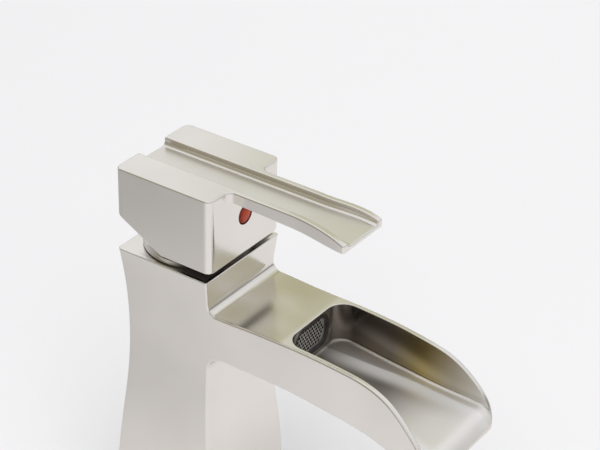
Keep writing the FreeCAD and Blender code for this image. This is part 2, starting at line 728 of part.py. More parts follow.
def rotor():
    """Turns in the housing with the stem and drives the carrier round."""
    low = rotor_bottom()
    step = above(HOUSING_TOP - HOUSING_ROOF) - ROTOR_CLEARANCE
    tongue_top = carrier_bottom() + CARRIER_THICKNESS + TONGUE_HEIGHT
    solid = fuse([
        cylinder(HOUSING_NECK_BORE / 2 - ROTOR_CLEARANCE, low, step),
        cylinder(ROTOR_NECK / 2, step - 1, above(ROTOR_TOP)),
    ])
    slot_half = STEM_SIDE / 2 + STEM_SIDE_PLAY
    swing = math.sin(math.radians(LEVER_LIFT))
    front = STEM_ARM * swing + BALL_DIAMETER / 2 + BALL_PLAY
    neck_half = STEM_SIDE / 2 + (ROTOR_TOP - PIVOT_HEIGHT) * swing + MOVE_GAP * 2
    groove = TONGUE_WIDTH / 2 + ROTOR_CLEARANCE
    cuts = [
        box(-slot_half, slot_half, -front, STEM_SIDE / 2 + MOVE_GAP, low - 1, step - 2),
        box(-slot_half, slot_half, -neck_half, neck_half, step - 3, above(ROTOR_TOP) + 1),
        box(-groove, groove, -FOOT_WIDTH, FOOT_WIDTH, low - 1, tongue_top + MOVE_GAP / 2),
        pivot_cylinder(PIN_DIAMETER, ROTOR_NECK + 4),
    ]
    return solid.cut(cuts)


def pivot_cylinder(diameter, length):
    """A cylinder along the lever's hinge line."""
    start = Vector(-length / 2, 0, above(PIVOT_HEIGHT))
    return Part.makeCylinder(diameter / 2, length, start, Vector(1, 0, 0))


def spindle_pin():
    half = math.sqrt((ROTOR_NECK / 2) ** 2 - (PIN_DIAMETER / 2) ** 2)
    return pivot_cylinder(PIN_DIAMETER, 2 * half - MOVE_GAP)


def limit_ring():
    """Plastic ring on the housing that limits how far the rotor turns."""
    z = above(HOUSING_TOP)
    return ring(HOUSING_NECK / 2 - 2 * MOVE_GAP, ROTOR_NECK / 2 + MOVE_GAP, z, z + RING_THICKNESS)


def cartridge_nut():
    """Threaded ring that holds the housing down, with four key slots."""
    z = above(-THREAD_DROP)
    top = z + CARTRIDGE_NUT_HEIGHT
    nut_ring = ring(THREAD_DIAMETER / 2, HOUSING_NECK / 2 + CARTRIDGE_CLEARANCE, z, top)
    half = NUT_KEY_WIDTH / 2
    low = top - NUT_KEY_DEPTH
    across = box(-THREAD_DIAMETER, THREAD_DIAMETER, -half, half, low, top + 1)
    along = box(-half, half, -THREAD_DIAMETER, THREAD_DIAMETER, low, top + 1)
    return nut_ring.cut([across, along])


def bonnet():
    """Round collar on the column with a ball shaped cover over the cartridge."""
    low = above(-BONNET_SKIRT)
    pivot = above(PIVOT_HEIGHT)
    dome = ball(BONNET_RADIUS, pivot).common(cylinder(BONNET_RADIUS + 1, above(0), above(BONNET_TOP)))
    flange = cylinder(BONNET_DIAMETER / 2, above(0), above(BONNET_FLANGE))
    flange = fillet_where(flange, BONNET_EDGE_RADIUS, lambda b: b.ZMin > above(BONNET_FLANGE) - 0.01)
    solid = fuse([cylinder(THREAD_DIAMETER / 2, low, above(1)), flange, dome])
    hollow = ball(BONNET_RADIUS - BONNET_WALL, pivot).common(
        cylinder(BONNET_RADIUS, above(-1), above(BONNET_TOP) + 1))
    return solid.cut([hollow, cylinder(HOUSING_NECK / 2 + 2 * MOVE_GAP, low - 1, above(1))])


# ---- handle -------------------------------------------------------------------------

def lever_half_width(reach):
    flared = smooth_step((reach - (LEVER_REACH - LEVER_FLARE_LENGTH)) / LEVER_FLARE_LENGTH)
    return (LEVER_WIDTH + (LEVER_TIP_WIDTH - LEVER_WIDTH) * flared) / 2


def lever_plan(inset, y_root, z0, z1, run_out):
    """The lever seen from above, each side moved in by the inset."""
    steps = 6
    start = LEVER_REACH - LEVER_FLARE_LENGTH
    reaches = [start + LEVER_FLARE_LENGTH * i / steps for i in range(steps + 1)]
    right = [Vector(lever_half_width(r) - inset, -r, z0) for r in reaches]
    left = [Vector(-p.x, p.y, z0) for p in right]
    tip_right = right[-1] + Vector(0, -run_out, 0)
    tip_left = left[-1] + Vector(0, -run_out, 0)
    root_right = Vector(right[0].x, y_root, z0)
    root_left = Vector(left[0].x, y_root, z0)
    along = Vector(0, -1, 0)
    edges = [line(root_right, right[0]), spline(right, along, along)]
    if run_out:
        edges.append(line(right[-1], tip_right))
    edges.append(line(tip_right, tip_left))
    if run_out:
        edges.append(line(tip_left, left[-1]))
    edges += [spline(left, along, along), line(left[0], root_left), line(root_left, root_right)]
    face = Part.Face(Part.Wire(Part.__sortEdges__(edges)))
    return face.extrude(Vector(0, 0, z1 - z0))


def at_tip(behind, height):
    return Vector(0, behind - LEVER_REACH, above(height))


def lever_side():
    """The lever seen from the side, running back into the block."""
    top = [at_tip(*p) for p in LEVER_TOP_LINE]
    under = [at_tip(*p) for p in LEVER_UNDER_LINE]
    root_top = Vector(0, 0, above(BLOCK_TOP))
    root_under = Vector(0, 0, under[-1].z)
    edges = [
        line(root_top, top[0]),
        spline(top, Vector(0, -1, 0), Vector(0, -1, -0.8)),
        line(top[-1], under[0]),
        spline(under),
        line(under[-1], root_under),
        line(root_under, root_top),
    ]
    return side_plate(edges, BLOCK_WIDTH)


def block():
    """The square block with its rounded upright corners and rear chamfer."""
    w, d = BLOCK_WIDTH / 2, BLOCK_DEPTH / 2
    solid = box(-w, w, -d, d, above(BLOCK_BOTTOM), above(BLOCK_TOP))
    solid = fillet_where(solid, BLOCK_CORNER_RADIUS, lambda b: b.ZLength > 1)
    corner = [
        Vector(0, CHAMFER_REACH, above(BLOCK_BOTTOM)),
        Vector(0, d + 1, above(CHAMFER_HEIGHT) + (CHAMFER_HEIGHT - BLOCK_BOTTOM) / (d - CHAMFER_REACH)),
        Vector(0, d + 1, above(BLOCK_BOTTOM) - 5),
        Vector(0, CHAMFER_REACH, above(BLOCK_BOTTOM) - 5),
    ]
    edges = [line(corner[i], corner[(i + 1) % 4]) for i in range(4)]
    return solid.cut(side_plate(edges, BLOCK_WIDTH))


def channel():
    """The shallow channel along the top of the block and the lever, level up to the flare."""
    floor = above(BLOCK_TOP - CHANNEL_DEPTH)
    back = BLOCK_DEPTH / 2 + 5
    tip = above(CHANNEL_TIP_HEIGHT)
    start = LEVER_REACH - LEVER_FLARE_LENGTH
    points = [
        Vector(0, -start, floor),
        Vector(0, -start - LEVER_FLARE_LENGTH * 0.5, floor + (tip - floor) * 0.3),
        Vector(0, -LEVER_REACH, tip),
    ]
    run_out = points[-1] + (points[-1] - points[-2]) * 0.5
    top = above(BLOCK_TOP) + 5
    edges = [
        line(Vector(0, back, floor), points[0]),
        spline(points, Vector(0, -1, 0), points[-1] - points[-2]),
        line(points[-1], run_out),
        line(run_out, Vector(0, run_out.y, top)),
        line(Vector(0, run_out.y, top), Vector(0, back, top)),
        line(Vector(0, back, top), Vector(0, back, floor)),
    ]
    plan = lever_plan(LEVER_RIM, back, floor - 5, top, LEVER_FLARE_LENGTH)
    solid = plan.common(side_plate(edges, BLOCK_WIDTH))
    return fillet_where(solid, CHANNEL_FILLET, lambda b: b.ZMax < floor + 0.2 and b.YLength > 5)


def socket_top():
    return above(BLOCK_TOP - CHANNEL_DEPTH - SOCKET_ROOF)


def handle_outside():
    """Block and lever as one casting, with its edges rounded."""
    lever = lever_plan(0.0, 0.0, above(BLOCK_BOTTOM), above(BLOCK_TOP), 0.0).common(lever_side())
    solid = fuse([block(), lever])
    front = BLOCK_DEPTH / 2
    root = LEVER_WIDTH / 2
    tip = LEVER_REACH - 0.1
    solid = fillet_where(solid, LEVER_ROOT_RADIUS,
                         lambda b: abs(b.YMin + front) < 0.01 and b.YLength < 0.01 and b.XLength < 0.01
                         and abs(abs(b.XMin) - root) < 0.01)
    solid = fillet_where(solid, LEVER_CORNER_RADIUS, lambda b: b.YMax < -tip and b.XLength < 0.1)
    upper = above(LEVER_UNDER_LINE[-1][1])
    solid = fillet_where(solid, BLOCK_EDGE_RADIUS, lambda b: b.ZMin > upper and not is_cross_line(b))
    return fillet_where(solid, BLOCK_EDGE_RADIUS, lambda b: b.ZMax < above(BLOCK_TOP / 2))


def is_cross_line(b):
    """A line right across the lever that only parts two smooth faces."""
    return b.ZLength < 0.01 and b.XLength > LEVER_WIDTH - 2 and -LEVER_REACH + 1 < b.YMax < -BLOCK_DEPTH


def handle():
    solid = handle_outside().cut(channel())
    inner = LEVER_WIDTH / 2 - LEVER_RIM
    start = -LEVER_REACH + LEVER_FLARE_LENGTH

    def on_channel(b):
        on_block = b.ZMin > above(BLOCK_TOP) - 0.01 and abs(max(abs(b.XMin), abs(b.XMax)) - inner) < 0.01
        on_tip = b.YMax < start + 0.1 and b.ZMax > above(BLOCK_TOP) - 0.3 and b.YLength > 5
        return (on_block or on_tip) and abs(b.XMin) < LEVER_WIDTH / 2 - 0.2

    solid = fillet_where(solid, CHANNEL_EDGE_RADIUS, lambda b: on_channel(b) and b.YLength > 5)
    pivot = above(PIVOT_HEIGHT)
    hollow = ball(CAVITY_RADIUS, pivot).cut(
        cylinder(BOSS_DIAMETER / 2, above(BOSS_BOTTOM), above(BLOCK_TOP)))
    side = STEM_SIDE / 2 + SOCKET_FIT
    socket = box(-side, side, -side, side, above(BOSS_BOTTOM) - 1, socket_top())
    low = -BLOCK_DEPTH / 2
    z = above(INDICATOR_HEIGHT)
    plug_back = low + INDICATOR_SUNK + INDICATOR_THICKNESS
    plug_hole = front_hole(INDICATOR_DIAMETER + 2 * INDICATOR_CLEARANCE, 0, z, low - 1, plug_back)
    screw_hole = front_hole(SCREW_DIAMETER, 0, z, low, 0)
    return solid.cut([hollow, socket, plug_hole, screw_hole])


def spindle():
    """Square stem with a hinge bore and a ball end in the carrier."""
    pivot = above(PIVOT_HEIGHT)
    half = STEM_SIDE / 2
    ball_z = pivot - STEM_ARM
    upper = box(-half, half, -half, half, pivot - PIN_DIAMETER / 2, socket_top() - MOVE_GAP)
    upper = fillet_where(upper, STEM_CORNER_RADIUS, lambda b: b.ZLength > 1)
    cheeks = pivot_cylinder(STEM_SIDE, STEM_SIDE)
    neck = STEM_CORNER_RADIUS
    shank = Part.makeCone(BALL_DIAMETER / 2 - neck, half - neck, STEM_ARM - 1, Vector(0, 0, ball_z))
    solid = fuse([upper, cheeks, shank, ball(BALL_DIAMETER / 2, ball_z)])
    return solid.cut(pivot_cylinder(PIN_DIAMETER + 2 * PIN_FIT, STEM_SIDE + 4))


def handle_set_screw():
    """Socket head grub screw from the front, bearing on the stem."""
    head = Vector(0, -STEM_SIDE / 2 - SCREW_LENGTH, above(INDICATOR_HEIGHT))
    screw = front_hole(SCREW_DIAMETER, 0, head.z, head.y, head.y + SCREW_LENGTH)
    return screw.cut(hexagon(SCREW_HEX, head - Vector(0, 1, 0), Vector(0, 1 + SCREW_HEX, 0)))


def indicator_plug():
    """Round red plug over the set screw, a little sunk, with a crowned face."""
    low = -BLOCK_DEPTH / 2 + INDICATOR_SUNK
    z = above(INDICATOR_HEIGHT)
    plug = front_hole(INDICATOR_DIAMETER, 0, z, low, low + INDICATOR_THICKNESS)
    return plug.makeFillet(INDICATOR_EDGE_RADIUS, [e for e in plug.Edges if e.BoundBox.YMax < low + 0.01])


NODES = {
    "faucet_body": faucet_body,
    "spout": spout,
    "column_foot": column_foot,
    "inlet_block": inlet_block,
    "base_gasket": base_gasket,
    "mounting_studs": mounting_studs,
    "clamp_gasket": clamp_gasket,
    "clamp_plate": clamp_plate,
    "mounting_nuts": mounting_nuts,
    "screen_frame": screen_frame,
    "outlet_screen": outlet_screen,
    "screen_seal": screen_seal,
    "cartridge_base": cartridge_base,
    "port_seals": port_seals,
    "fixed_disc": fixed_disc,
    "moving_disc": moving_disc,
    "disc_carrier": disc_carrier,
    "cartridge_housing": cartridge_housing,
    "rotor": rotor,
    "spindle_pin": spindle_pin,
    "limit_ring": limit_ring,
    "cartridge_nut": cartridge_nut,
    "bonnet": bonnet,
    "handle": handle,
    "spindle": spindle,
    "handle_set_screw": handle_set_screw,
    "indicator_plug": indicator_plug,
}

for name, make in NODES.items():
    piece = make()
    print(name, "solids", len(piece.Solids), "valid", piece.isValid(), "volume", round(piece.Volume, 1))
    export(name, piece)
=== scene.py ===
"""Looks of a single-lever waterfall basin faucet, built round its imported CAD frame.

The CAD nodes keep their shapes and get procedural finishes. The threaded studs and the crowned button,
whose CAD nodes are plain, are modelled here in full and stand for those nodes. Lengths in the classes are
millimetres unless their names say otherwise, in the frame's own axes: +Z up, the spout and the lever point
to -Y, the origin is the middle of the foot on the deck plane.
"""

import json
import logging
import math
from dataclasses import dataclass, field
from enum import Enum
from functools import cached_property

import bmesh
import bpy
from mathutils import Matrix, Vector


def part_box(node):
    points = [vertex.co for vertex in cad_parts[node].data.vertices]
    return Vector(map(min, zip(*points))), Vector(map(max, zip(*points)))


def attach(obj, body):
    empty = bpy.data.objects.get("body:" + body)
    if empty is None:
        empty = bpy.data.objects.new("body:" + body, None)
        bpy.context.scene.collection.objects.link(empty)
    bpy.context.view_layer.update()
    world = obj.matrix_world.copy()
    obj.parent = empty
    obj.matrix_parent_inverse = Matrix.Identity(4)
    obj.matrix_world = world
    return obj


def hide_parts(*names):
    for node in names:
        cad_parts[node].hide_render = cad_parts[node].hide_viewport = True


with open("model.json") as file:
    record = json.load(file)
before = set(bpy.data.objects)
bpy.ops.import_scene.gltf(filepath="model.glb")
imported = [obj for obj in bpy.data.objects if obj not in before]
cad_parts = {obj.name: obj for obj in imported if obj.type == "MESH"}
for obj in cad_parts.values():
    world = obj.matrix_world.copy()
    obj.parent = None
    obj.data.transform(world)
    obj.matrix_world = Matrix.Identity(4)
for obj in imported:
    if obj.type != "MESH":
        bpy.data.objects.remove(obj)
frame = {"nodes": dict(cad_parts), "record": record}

MM = 0.001
# vertices nearer than this are one, in millimetres
MERGE = 0.002
# a noise node's factor seldom leaves these
NOISE_SPAN = {"From Min": 0.3, "From Max": 0.7}
LOG = logging.getLogger("faucet")

Socket = bpy.types.NodeSocket
Colour = tuple[float, float, float, float] | Socket


# ---- colours, nodes and patterns ----------------------------------------------------


def linear(colour: str) -> tuple[float, float, float, float]:
    """Turns an sRGB hex colour into linear RGBA.

    Args:
        colour: six hex digits after a hash.

    Returns:
        Linear red, green, blue and an alpha of one.
    """
    parts = [int(colour[i:i + 2], 16) / 255 for i in (1, 3, 5)]
    return (*(p / 12.92 if p <= 0.04045 else ((p + 0.055) / 1.055) ** 2.4 for p in parts), 1.0)


def add_node(
    tree: bpy.types.NodeTree,
    kind: str,
    inputs: dict[str | int, object] | None = None,
    stops: tuple[tuple[float, str], ...] = (),
    **settings: object,
) -> bpy.types.Node:
    """Adds one shader node with its settings, input values and links.

    Args:
        tree: the tree that gets the node.
        kind: node type without its ShaderNode prefix.
        inputs: input name or index, and its fixed value or the socket that feeds it.
        stops: rising position and hex colour of each stop, where the node is a colour ramp.
        **settings: properties of the node itself.

    Returns:
        The new node.
    """
    node = tree.nodes.new("ShaderNode" + kind)
    for name, value in settings.items():
        setattr(node, name, value)
    for name, value in (inputs or {}).items():
        if isinstance(value, Socket):
            tree.links.new(value, node.inputs[name])
        else:
            node.inputs[name].default_value = value
    for number, (position, colour) in enumerate(stops):
        elements = node.color_ramp.elements
        element = elements[number] if number < len(elements) else elements.new(position)
        element.position = position
        element.color = linear(colour)
    return node


def object_noise(
    tree: bpy.types.NodeTree, size_mm: tuple[float, float, float], detail: float = 2.0
) -> Socket:
    """Noise in object space whose features have a given size along each axis.

    Args:
        tree: the material's tree.
        size_mm: feature size along X, Y and Z.
        detail: octaves of the noise.

    Returns:
        The noise factor, about 0.3 to 0.7.
    """
    place = add_node(tree, "TexCoord").outputs["Object"]
    scale = [1 / (size * MM) for size in size_mm]
    mapped = add_node(tree, "Mapping", {"Vector": place, "Scale": scale}).outputs[0]
    return add_node(tree, "TexNoise", {"Vector": mapped, "Scale": 1.0, "Detail": detail}).outputs[0]


def clouds(
    tree: bpy.types.NodeTree,
    size_mm: tuple[float, float, float],
    low: float,
    high: float,
    detail: float = 2.0,
) -> Socket:
    """A value that drifts between two ends over the surface, in clouds of a given size.

    Args:
        tree: the material's tree.
        size_mm: size of the clouds along X, Y and Z.
        low: value where the noise is low.
        high: value where the noise is high.
        detail: octaves of the noise.

    Returns:
        The drifting value.
    """
    drift = {"Value": object_noise(tree, size_mm, detail), **NOISE_SPAN, "To Min": low, "To Max": high}
    return add_node(tree, "MapRange", drift).outputs[0]


# ---- surfaces and their patches -----------------------------------------------------


class Measure(Enum):
    """What the border of a patch is measured by."""

    ACROSS = "distance from the middle plane, in millimetres"
    DEPTH = "place along Y, in millimetres"
    HEIGHT = "place along Z, in millimetres"
    UPWARD = "part of the normal that points up"
    LENGTHWISE = "size of the normal's part along Y"
    WALL = "distance inwards from the trough's wall, in millimetres"
    STREAK = "distance outwards from the streaks' line, in millimetres"
    REACH = "share of the way from the screen to the lip"


@dataclass(frozen=True)
class Border:
    """Soft border, which rises from a low value at its start to a high one at its end."""

    measure: Measure
    start: float
    end: float
    low: float = 0.0
    high: float = 1.0


@dataclass(frozen=True)
class Patch:
    """Part of a surface with a look of its own, inside all of its borders."""

    borders: tuple[Border, ...]
    colour: str | None = None
    roughness: float | None = None
    cloud_mm: tuple[float, float, float] | None = None
    cloud_share: tuple[float, float] = (0.35, 1.0)
    cloud_detail: float = 1.0


@dataclass
class Surface:
    """Colour and roughness of a material, while other looks are laid over them."""

    tree: bpy.types.NodeTree
    colour: Colour
    roughness: float | Socket = 0.5

    @cached_property
    def measures(self) -> dict[Measure, Socket]:
        """The measures that every surface has.

        Returns:
            The socket that gives each measure.
        """
        texture = add_node(self.tree, "TexCoord")
        place = {0: texture.outputs["Object"], "Scale": 1 / MM}
        lengths = add_node(self.tree, "VectorMath", place, operation="SCALE").outputs[0]
        axes = add_node(self.tree, "SeparateXYZ", {0: lengths}).outputs
        normal = add_node(self.tree, "SeparateXYZ", {0: texture.outputs["Normal"]}).outputs
        return {
            Measure.ACROSS: add_node(self.tree, "Math", {0: axes[0]}, operation="ABSOLUTE").outputs[0],
            Measure.DEPTH: axes[1],
            Measure.HEIGHT: axes[2],
            Measure.UPWARD: normal[2],
            Measure.LENGTHWISE: add_node(self.tree, "Math", {0: normal[1]}, operation="ABSOLUTE").outputs[0],
        }

    def share(self, *parts: Border | Socket) -> Socket:
        """Measures how much of each place lies inside all of some borders.

        Args:
            *parts: the borders, and shares that were measured before.

        Returns:
            The share, which is all of theirs multiplied.
        """
        result = None
        for part in parts:
            if isinstance(part, Border):
                reach = {"Value": self.measures[part.measure], "From Min": part.start, "From Max": part.end}
                reach |= {"To Min": part.low, "To Max": part.high}
                step = add_node(self.tree, "MapRange", reach, interpolation_type="SMOOTHSTEP").outputs[0]
            else:
                step = part
            if result is None:
                result = step
            else:
                result = add_node(self.tree, "Math", {0: result, 1: step}, operation="MULTIPLY").outputs[0]
        return result

    def lay(self, share: Socket, colour: Colour | None = None, roughness: float | None = None) -> None:
        """Lays another look over a share of the surface.

        Args:
            share: where the look is laid.
            colour: its colour, or none to keep what is there.
            roughness: its roughness, or none to keep what is there.
        """
        if colour is not None:
            # 6, 7 and 2 are the Mix node's sockets for two colours and their mix
            colours = {0: share, 6: self.colour, 7: colour}
            self.colour = add_node(self.tree, "Mix", colours, data_type="RGBA").outputs[2]
        if roughness is not None:
            # 2, 3 and 0 are its sockets for two numbers and their mix
            numbers = {0: share, 2: self.roughness, 3: roughness}
            self.roughness = add_node(self.tree, "Mix", numbers, data_type="FLOAT").outputs[0]


# ---- finishes -----------------------------------------------------------------------


class Slot(Enum):
    """The record's material slots."""

    SATIN_NICKEL = "satin_nickel"
    BLACK_RUBBER = "black_rubber"
    ZINC_STEEL = "zinc_steel"
    DARK_TRIM = "dark_trim"
    SCREEN_STEEL = "screen_steel"
    CARTRIDGE_PLASTIC = "cartridge_plastic"
    LIMIT_PLASTIC = "limit_plastic"
    CERAMIC = "ceramic"
    RAW_BRASS = "raw_brass"
    RED_PLASTIC = "red_plastic"


@dataclass(frozen=True)
class Finish:
    """One real finish, as a procedural material.

    The two colours are the ends of its own variation. The grain is a fine bump whose size
    is given along each axis, and it also varies the roughness between its two ends.
    """

    name: str
    colour: str
    other_colour: str
    metallic: float
    roughness: tuple[float, float]
    grain_mm: tuple[float, float, float]
    grain_depth_mm: float
    cloud_mm: float = 14.0
    grain_detail: float = field(default=3.0, kw_only=True)
    specular: float = 0.5
    patches: tuple[Patch, ...] = ()

    def build(self) -> bpy.types.Material:
        """Makes the material.

        Returns:
            The material.
        """
        material = bpy.data.materials.new(self.name)
        material.use_nodes = True
        tree = material.node_tree
        tree.nodes.clear()
        grain = object_noise(tree, self.grain_mm, self.grain_detail)
        low, high = self.roughness
        grained = {"Value": grain, **NOISE_SPAN, "To Min": low, "To Max": high}
        surface = Surface(tree, linear(self.colour), add_node(tree, "MapRange", grained).outputs[0])
        surface.lay(clouds(tree, (self.cloud_mm,) * 3, 0.0, 1.0), linear(self.other_colour))
        self.work(surface)
        bump = add_node(
            tree, "Bump", {"Height": grain, "Strength": 1.0, "Distance": self.grain_depth_mm * MM}
        ).outputs[0]
        shader = add_node(
            tree,
            "BsdfPrincipled",
            {
                "Base Color": surface.colour,
                "Roughness": surface.roughness,
                "Normal": bump,
                "Metallic": self.metallic,
                "Specular IOR Level": self.specular,
            },
        ).outputs[0]
        add_node(tree, "OutputMaterial", {"Surface": shader})
        return material

    def work(self, surface: Surface) -> None:
        """Lays the patches over the plain finish.

        Args:
            surface: the material's surface.
        """
        for patch in self.patches:
            share = surface.share(*patch.borders)
            if patch.cloud_mm:
                low, high = patch.cloud_share
                cloud = clouds(surface.tree, patch.cloud_mm, low, high, patch.cloud_detail)
                share = surface.share(share, cloud)
            surface.lay(share, linear(patch.colour) if patch.colour else None, patch.roughness)


@dataclass(frozen=True)
class SatinNickel(Finish):
    """Nickel plate on cast brass, polished and then lightly brushed: pale and warm, with soft reflections.

    The brush lines are really a few hundredths of a millimetre wide, and are drawn 0.35 mm wide to show.
    """

    name: str = "satin_nickel_plate"
    colour: str = "#e4e1de"
    other_colour: str = "#dedbd7"
    metallic: float = 1.0
    roughness: tuple[float, float] = (0.15, 0.21)
    grain_mm: tuple[float, float, float] = (0.35, 0.35, 6.0)
    grain_depth_mm: float = 0.0006
    cloud_mm: float = 30.0


@dataclass(frozen=True)
class SpoutNickel(SatinNickel):
    """Nickel of the spout: the trough is only brushed; painted shade darkens it towards the screen, its
    walls carry a painted golden reflection and its floor a painted sheen.
    """

    name: str = "satin_nickel_plate_spout"
    # half the trough's width, which grows from the neck to the lip
    half_width: Border = Border(Measure.DEPTH, -90.2, -126.2, 18.4, 22.2)
    trough: tuple[Border, ...] = (
        Border(Measure.WALL, -0.1, 0.1),
        Border(Measure.UPWARD, -0.4, -0.2),
        Border(Measure.DEPTH, -55.2, -55.8),
    )
    # the rim's flat top is no part of the trough, and is the only flat above the brim
    tilted: Border = Border(Measure.UPWARD, 0.9, 0.3)
    under_brim: Border = Border(Measure.HEIGHT, 90.5, 89.5)
    floor: Border = Border(Measure.UPWARD, 0.3, 0.9)
    screen: float = -56.0
    lip: float = -121.0
    # painted shade darkens the walls towards the screen, and a painted golden reflection lies part way to
    # the lip
    painted_wall_tones: tuple[tuple[float, str], ...] = (
        (0.0, "#857e77"), (0.38, "#88817a"), (0.60, "#b7a672"), (0.80, "#b8b1a2"), (1.0, "#dcd9d5"),
    )
    # painted shade darkens the floor towards the screen
    painted_floor_tones: tuple[tuple[float, str], ...] = ((0.0, "#a9a39d"), (0.22, "#dad6d2"), (0.42, "#f0eeec"))
    floor_roughness: float = 0.48
    # a painted sheen lies as a streak beside each wall, sharp on that side, and widens towards the lip;
    # there the floor is also rougher
    streak_slope: float = 0.139
    sheen_streak: tuple[Border, ...] = (
        Border(Measure.STREAK, -6.5, 0.3),
        Border(Measure.STREAK, 2.0, 0.7),
        Border(Measure.REACH, 0.0, 0.35, 0.3, 1.0),
    )
    painted_sheen_colour: str = "#ffffff"
    streak_roughness: float = 0.85
    # painted shade darkens the floor inward of each sheen streak, most towards the screen
    between: tuple[Border, ...] = (Border(Measure.STREAK, -1.5, -8.0), Border(Measure.REACH, 0.85, 0.4))
    painted_shade_beside_sheen: str = "#8e8882"
    patches: tuple[Patch, ...] = (
        # painted shade darkens the water way behind the screen, which is also rougher
        Patch(
            (
                Border(Measure.HEIGHT, 91.5, 90.5),
                Border(Measure.HEIGHT, 71.5, 72.5),
                Border(Measure.DEPTH, -54.9, -54.6),
                Border(Measure.ACROSS, 16.0, 15.5),
            ),
            "#2b2825",
            0.6,
        ),
        # the flat behind the trough has a painted reflection, a faint olive tint in clouds
        Patch(
            (Border(Measure.UPWARD, 0.8, 0.95), Border(Measure.DEPTH, -56.0, -53.0)),
            "#c5c0ab",
            cloud_mm=(18.0, 26.0, 18.0),
        ),
    )

    def measure(self, surface: Surface) -> None:
        """Adds the measures that only the trough has.

        Args:
            surface: the material's surface.
        """
        tree = surface.tree
        across = surface.measures[Measure.ACROSS]
        depth = surface.measures[Measure.DEPTH]
        widths = {0: surface.share(self.half_width), 1: across}
        line = {0: depth, 1: self.streak_slope, 2: across}
        way = {"Value": depth, "From Min": self.screen, "From Max": self.lip}
        surface.measures.update({
            Measure.WALL: add_node(tree, "Math", widths, operation="SUBTRACT").outputs[0],
            Measure.STREAK: add_node(tree, "Math", line, operation="MULTIPLY_ADD").outputs[0],
            Measure.REACH: add_node(tree, "MapRange", way).outputs[0],
        })

    def work(self, surface: Surface) -> None:
        """Paints shade into the trough towards the screen, a painted reflection on its walls and a painted
        sheen along its floor, and lays the patches.

        Args:
            surface: the material's surface.
        """
        self.measure(surface)
        tree = surface.tree
        reach = surface.measures[Measure.REACH]
        sheen_streak = surface.share(*self.sheen_streak)
        floor = Surface(tree, add_node(tree, "ValToRGB", {0: reach}, self.painted_floor_tones).outputs[0])
        floor.lay(surface.share(*self.between), linear(self.painted_shade_beside_sheen))
        floor.lay(sheen_streak, linear(self.painted_sheen_colour))
        level = surface.share(self.floor)
        trough = Surface(tree, add_node(tree, "ValToRGB", {0: reach}, self.painted_wall_tones).outputs[0])
        trough.lay(level, floor.colour)
        either = {0: surface.share(self.tilted), 1: surface.share(self.under_brim)}
        sunk = add_node(tree, "Math", either, operation="MAXIMUM").outputs[0]
        inside = surface.share(*self.trough, sunk)
        bottom = surface.share(inside, level)
        surface.lay(inside, trough.colour)
        surface.lay(bottom, roughness=self.floor_roughness)
        surface.lay(surface.share(bottom, sheen_streak), roughness=self.streak_roughness)
        super().work(surface)


@dataclass(frozen=True)
class JewelAcrylic(Finish):
    """Red acrylic with painted light: a painted highlight, and painted shade that deepens away from it, most
    on the side away from the light.
    """

    # place of the painted highlight, across and up; painted shade grows away from it
    painted_highlight_place: tuple[float, float] = (0.9, 132.4)
    tones: tuple[tuple[float, str], ...] = (
        (0.0, "#cc4210"), (0.5, "#bb380e"), (0.8, "#6c1c0a"), (1.0, "#280c06"),
    )
    radius: float = 5.0
    speck_mm: float = 1.6
    speck_share: tuple[float, float] = (1.0, 0.65)

    def work(self, surface: Surface) -> None:
        """Paints shade into the colour with the distance from the painted highlight's place.

        Args:
            surface: the material's surface.
        """
        tree = surface.tree
        side, height = (-length * MM for length in self.painted_highlight_place)
        place = add_node(tree, "TexCoord").outputs["Object"]
        moved = {0: place, 1: (1.0, 0.0, 1.0), 2: (side, 0.0, height)}
        flat = add_node(tree, "VectorMath", moved, operation="MULTIPLY_ADD").outputs[0]
        away = add_node(tree, "VectorMath", {0: flat}, operation="LENGTH").outputs["Value"]
        span = {"Value": away, "From Min": 0.0, "From Max": self.radius * MM}
        share = add_node(tree, "MapRange", span).outputs[0]
        specks = clouds(tree, (self.speck_mm,) * 3, *self.speck_share)
        surface.lay(specks, add_node(tree, "ValToRGB", {0: share}, self.tones).outputs[0])


